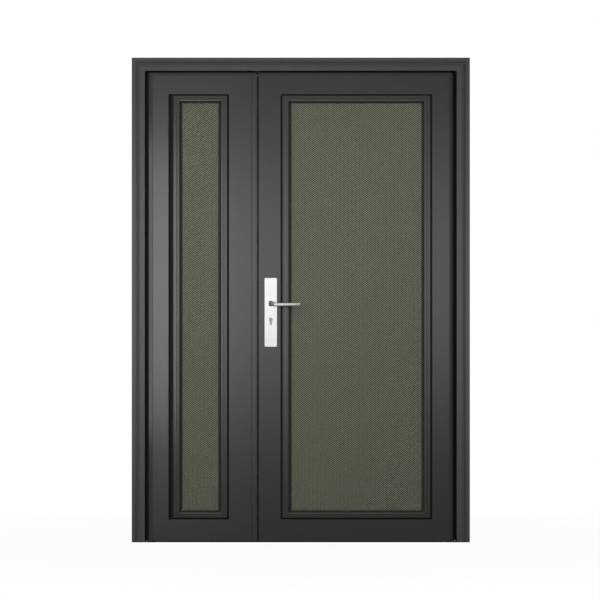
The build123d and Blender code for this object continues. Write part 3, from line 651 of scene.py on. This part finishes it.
def lever_form(name, facing, node):
    """A round neck, and a rounded bar that bends out of it, thins to the grip and ends in a slanted tip."""
    bm = bmesh.new()
    unit = bmesh.ops.create_grid(
        bm, x_segments=1, y_segments=1, size=0.5, matrix=Matrix.Rotation(math.pi / 2, 4, "X"),
    )["verts"]
    bmesh.ops.bevel(
        bm, geom=unit, offset=SECTION_ROUNDING, offset_type="OFFSET", affect="VERTICES",
        segments=SECTION_ROUNDING_STEPS, profile=0.5, material=-1,
    )
    ring = list(bm.edges)
    last = None
    for place, turn, depth, height in lever_stations():
        size = Matrix.Diagonal((depth, 1, height, 1))
        here = Matrix.Translation(place) @ Matrix.Rotation(turn, 4, "Z") @ size
        if last is None:
            bmesh.ops.transform(bm, matrix=here, verts=bm.verts)
        else:
            ring = extrude_ring(bm, ring, here @ last.inverted())
        last = here
    # The grip runs straight to the tip, where its end face leans and its rim is rounded
    straight = spindle_x + LEVER_REACH - place[0] - TIP_ROUNDING
    to_end = Matrix.Translation((straight, 0, 0))
    centre = Matrix.Translation(place)
    lean = Matrix.Identity(4)
    lean[0][2] = math.tan(TIP_SLANT)
    ring = extrude_ring(bm, ring, to_end @ centre @ lean @ centre.inverted())
    end_centre = Matrix.Translation(Vector(place) + Vector((straight, 0, 0)))
    for advance, shrink in TIP_STEPS:
        smaller = Matrix.Diagonal((1, shrink, shrink, 1))
        forward = Matrix.Translation((advance * TIP_ROUNDING, 0, 0))
        straighten = end_centre @ lean @ smaller @ lean.inverted() @ end_centre.inverted()
        ring = extrude_ring(bm, ring, forward @ straighten)
        end_centre = forward @ end_centre
    bmesh.ops.contextual_create(bm, geom=ring)
    neck_y = -(leaf_back + NECK_END_GAP)
    neck_centre = Matrix.Translation((spindle_x, neck_y - NECK_LENGTH / 2, spindle_z))
    bmesh.ops.create_cone(
        bm, cap_ends=True, segments=NECK_STEPS, radius1=NECK_RADIUS, radius2=NECK_RADIUS, depth=NECK_LENGTH,
        matrix=neck_centre @ Matrix.Rotation(math.pi / 2, 4, "X"),
    )
    if facing > 0:
        bmesh.ops.transform(bm, matrix=Matrix.Diagonal((1, -1, 1, 1)), verts=bm.verts)
    piece = finish_piece(name, bm, lever_metal, "lever", [node], smooth=True)
    crisp = piece.modifiers.new("crisp_edges", "EDGE_SPLIT")
    crisp.split_angle = CRISP_EDGE_ANGLE


lever_form("outside_lever_form", -1, "outside_lever")
lever_form("inside_lever_form", 1, "inside_lever")


# Floor, background and light

middle_x = (cad_box[0][0] + cad_box[1][0]) / 2


def seen_share(tree, in_reflections):
    """A ray's share of the white: all of it when looked at or seen through glass, a part in reflections."""
    rays = put(tree, "ShaderNodeLightPath")
    direct = put(
        tree, "ShaderNodeMath", {0: rays.outputs["Is Camera Ray"], 1: rays.outputs["Is Transmission Ray"]},
        operation="ADD",
    )
    mirrored = put(
        tree, "ShaderNodeMath", {0: rays.outputs["Is Glossy Ray"], 1: in_reflections}, operation="MULTIPLY",
    )
    seen = put(
        tree, "ShaderNodeMath", {0: direct.outputs[0], 1: mirrored.outputs[0]},
        operation="ADD", use_clamp=True,
    )
    return seen.outputs[0]


def pale_floor():
    """A matt pale floor that goes over into the white background away from the door, and keeps its shadow."""
    material, tree = new_material("pale_studio_floor")
    seen = seen_share(tree, FLOOR_IN_REFLECTIONS)
    place = put(tree, "ShaderNodeTexCoord")
    from_door = put(
        tree, "ShaderNodeMapping", {"Vector": place.outputs["Object"], "Location": (-middle_x, 0, 0)},
    )
    away = put(tree, "ShaderNodeVectorMath", {0: from_door.outputs["Vector"]}, operation="LENGTH")
    fade = put(tree, "ShaderNodeMapRange", {
        "Value": away.outputs["Value"], "From Min": FLOOR_FADE_START, "From Max": FLOOR_FADE_END,
        "To Min": FLOOR_NEAR_WHITE, "To Max": 1.0,
    }, interpolation_type="SMOOTHSTEP")
    share = put(tree, "ShaderNodeMath", {0: seen, 1: fade.outputs["Result"]}, operation="MULTIPLY")
    matt = put(tree, "ShaderNodeBsdfDiffuse", {"Color": srgb("#b8b8b6")})
    white = put(tree, "ShaderNodeEmission", {"Color": (1, 1, 1, 1), "Strength": 1.0})
    mix = put(tree, "ShaderNodeMixShader", {0: share.outputs[0], 1: matt.outputs[0], 2: white.outputs[0]})
    put(tree, "ShaderNodeOutputMaterial", {"Surface": mix.outputs[0]})
    return material


def white_surround():
    """White where it is looked at, white at the sides in reflections, and a soft even light on the door.

    The two ends of the studio, which the door's faces mirror, are as dim in reflections as in their light.
    """
    world = bpy.data.worlds.new("white_studio")
    bpy.context.scene.world = world
    world.use_nodes = True
    tree = world.node_tree
    tree.nodes.clear()
    way = put(tree, "ShaderNodeTexCoord")
    parts = put(tree, "ShaderNodeSeparateXYZ", {0: way.outputs["Generated"]})
    along = put(tree, "ShaderNodeMath", {0: parts.outputs["Y"]}, operation="ABSOLUTE")
    sides = put(tree, "ShaderNodeMapRange", {
        "Value": along.outputs[0], "From Min": STUDIO_END_START, "From Max": STUDIO_END_FULL,
        "To Min": 1.0, "To Max": 0.0,
    }, interpolation_type="SMOOTHSTEP")
    leftness = put(tree, "ShaderNodeMapRange", {
        "Value": parts.outputs["X"], "From Min": LEFT_SIDE_DIRECTION, "From Max": RIGHT_SIDE_DIRECTION,
        "To Min": LEFT_SIDE_SHARE, "To Max": RIGHT_SIDE_SHARE,
    }, interpolation_type="SMOOTHSTEP")
    mirrored = put(
        tree, "ShaderNodeMath", {0: sides.outputs["Result"], 1: leftness.outputs["Result"]},
        operation="MULTIPLY",
    )
    seen = seen_share(tree, mirrored.outputs[0])
    white = put(tree, "ShaderNodeBackground", {"Color": (1, 1, 1, 1), "Strength": 1.0})
    fill = put(tree, "ShaderNodeBackground", {"Color": (1, 1, 1, 1), "Strength": WORLD_FILL})
    mix = put(tree, "ShaderNodeMixShader", {0: seen, 1: fill.outputs[0], 2: white.outputs[0]})
    put(tree, "ShaderNodeOutputWorld", {"Surface": mix.outputs[0]})


def softbox(name, facing, place, aim, width, height, radiance):
    """A rectangular soft light that the camera doesn't see, given the brightness of its face.

    Its place is across, away from the door and up. It is aimed at a point of the door, across and up.
    """
    centre = Vector((place[0], facing * place[1], place[2]))
    target = Vector((aim[0], 0, aim[1]))
    light = bpy.data.lights.new(name, "AREA")
    light.shape = "RECTANGLE"
    light.size = width
    light.size_y = height
    light.energy = math.pi * width * height * radiance
    lamp = bpy.data.objects.new(name, light)
    bpy.context.scene.collection.objects.link(lamp)
    lamp.location = centre
    lamp.rotation_euler = (target - centre).to_track_quat("-Z", "Y").to_euler()
    lamp.visible_camera = False
    return lamp


def screen_off(lamp, *nodes):
    """Screen a light off from everything but the nodes named."""
    lit = bpy.data.collections.new(f"{lamp.name}_only")
    for node in nodes:
        lit.objects.link(frame["nodes"][node])
    lamp.light_linking.receiver_collection = lit


white_surround()
bm = bmesh.new()
bmesh.ops.create_grid(
    bm, x_segments=1, y_segments=1, size=FLOOR_SIZE / 2, matrix=Matrix.Translation((0, 0, -FLOOR_DROP)),
)
floor_mesh = bpy.data.meshes.new("studio_floor")
bm.to_mesh(floor_mesh)
bm.free()
floor_mesh.materials.append(pale_floor())
floor = bpy.data.objects.new("studio_floor", floor_mesh)
bpy.context.scene.collection.objects.link(floor)

# Lights that shade the door and aren't mirrored in it
shading_lights = {
    "key": {
        "place": (middle_x - 4.0, 6.2, 2.8), "aim": (middle_x, 1.1),
        "width": 2.0, "height": 2.0, "radiance": 14.0,
    },
    "front_softbox": {
        "place": (middle_x, 1.7, 1.55), "aim": (middle_x, 1.35),
        "width": 2.6, "height": 0.8, "radiance": 4.1,
    },
}
# Lights that the door only mirrors
left_x = narrow_pivot_x + 0.02
broad_x = middle_x + 0.15
narrow_x = narrow_pivot_x + 0.06
jamb_x = wide_pivot_x + 0.12
upper_x = middle_x - 0.5
mirrored_lights = {
    "left_glow": {
        "place": (left_x, 1.1, 1.14), "aim": (left_x, 1.14),
        "width": 0.22, "height": 1.3, "radiance": 4.7,
    },
    "broad_glow": {
        "place": (broad_x, 3.0, 1.2), "aim": (broad_x, 1.2),
        "width": 3.0, "height": 1.05, "radiance": 2.55,
    },
    "heel_glow": {
        "place": (narrow_pivot_x - 0.365, 0.325, 1.14), "aim": (narrow_pivot_x - 0.02, 1.14),
        "width": 0.43, "height": 1.35, "radiance": 2.4,
    },
    "narrow_glow": {
        "place": (narrow_x, 1.1, 1.12), "aim": (narrow_x, 1.12),
        "width": 0.44, "height": 2.3, "radiance": 0.45,
    },
    "jamb_glow": {
        "place": (jamb_x, 1.1, 1.08), "aim": (jamb_x, 1.08),
        "width": 0.22, "height": 0.8, "radiance": 2.5,
    },
    "right_glow": {
        "place": (wide_pivot_x + 1.3, 2.2, 1.2), "aim": (wide_pivot_x, 1.2),
        "width": 1.0, "height": 1.1, "radiance": 0.6,
    },
    "upper_glow": {
        "place": (upper_x, 2.5, 2.95), "aim": (upper_x, leaf_top),
        "width": 2.0, "height": 0.5, "radiance": 1.1,
    },
}
# Three of them are mirrored by these nodes alone
screened_lights = {
    "heel_glow": ("narrow_hinge_stile",),
    "narrow_glow": (
        "narrow_hinge_stile", "narrow_top_rail", "narrow_bottom_rail", "narrow_meeting_stile",
        "narrow_meeting_strip",
    ),
    "jamb_glow": ("right_jamb",),
}
for facing, side in ((-1, "outside"), (1, "inside")):
    for name, light in shading_lights.items():
        lamp = softbox(f"{side}_{name}", facing, **light)
        lamp.visible_glossy = False
    for name, light in mirrored_lights.items():
        lamp = softbox(f"{side}_{name}", facing, **light)
        lamp.visible_diffuse = False
        if name in screened_lights:
            screen_off(lamp, *screened_lights[name])

# Camera at the photograph's place
camera = bpy.data.cameras.new("photo_camera")
camera.lens = CAMERA_LENS_MM
camera.sensor_width = CAMERA_SENSOR_MM
camera_distance = PHOTO_WIDTH * CAMERA_LENS_MM / CAMERA_SENSOR_MM
viewer = bpy.data.objects.new("photo_camera", camera)
bpy.context.scene.collection.objects.link(viewer)
viewer.location = (
    cad_box[0][0] + PHOTO_CENTRE_FROM_LEFT, wide_heel_low.y - camera_distance, PHOTO_CENTRE_HEIGHT,
)
viewer.rotation_euler = (math.pi / 2, 0, 0)
bpy.context.scene.camera = viewer

bpy.context.scene.view_settings.view_transform = "Standard"
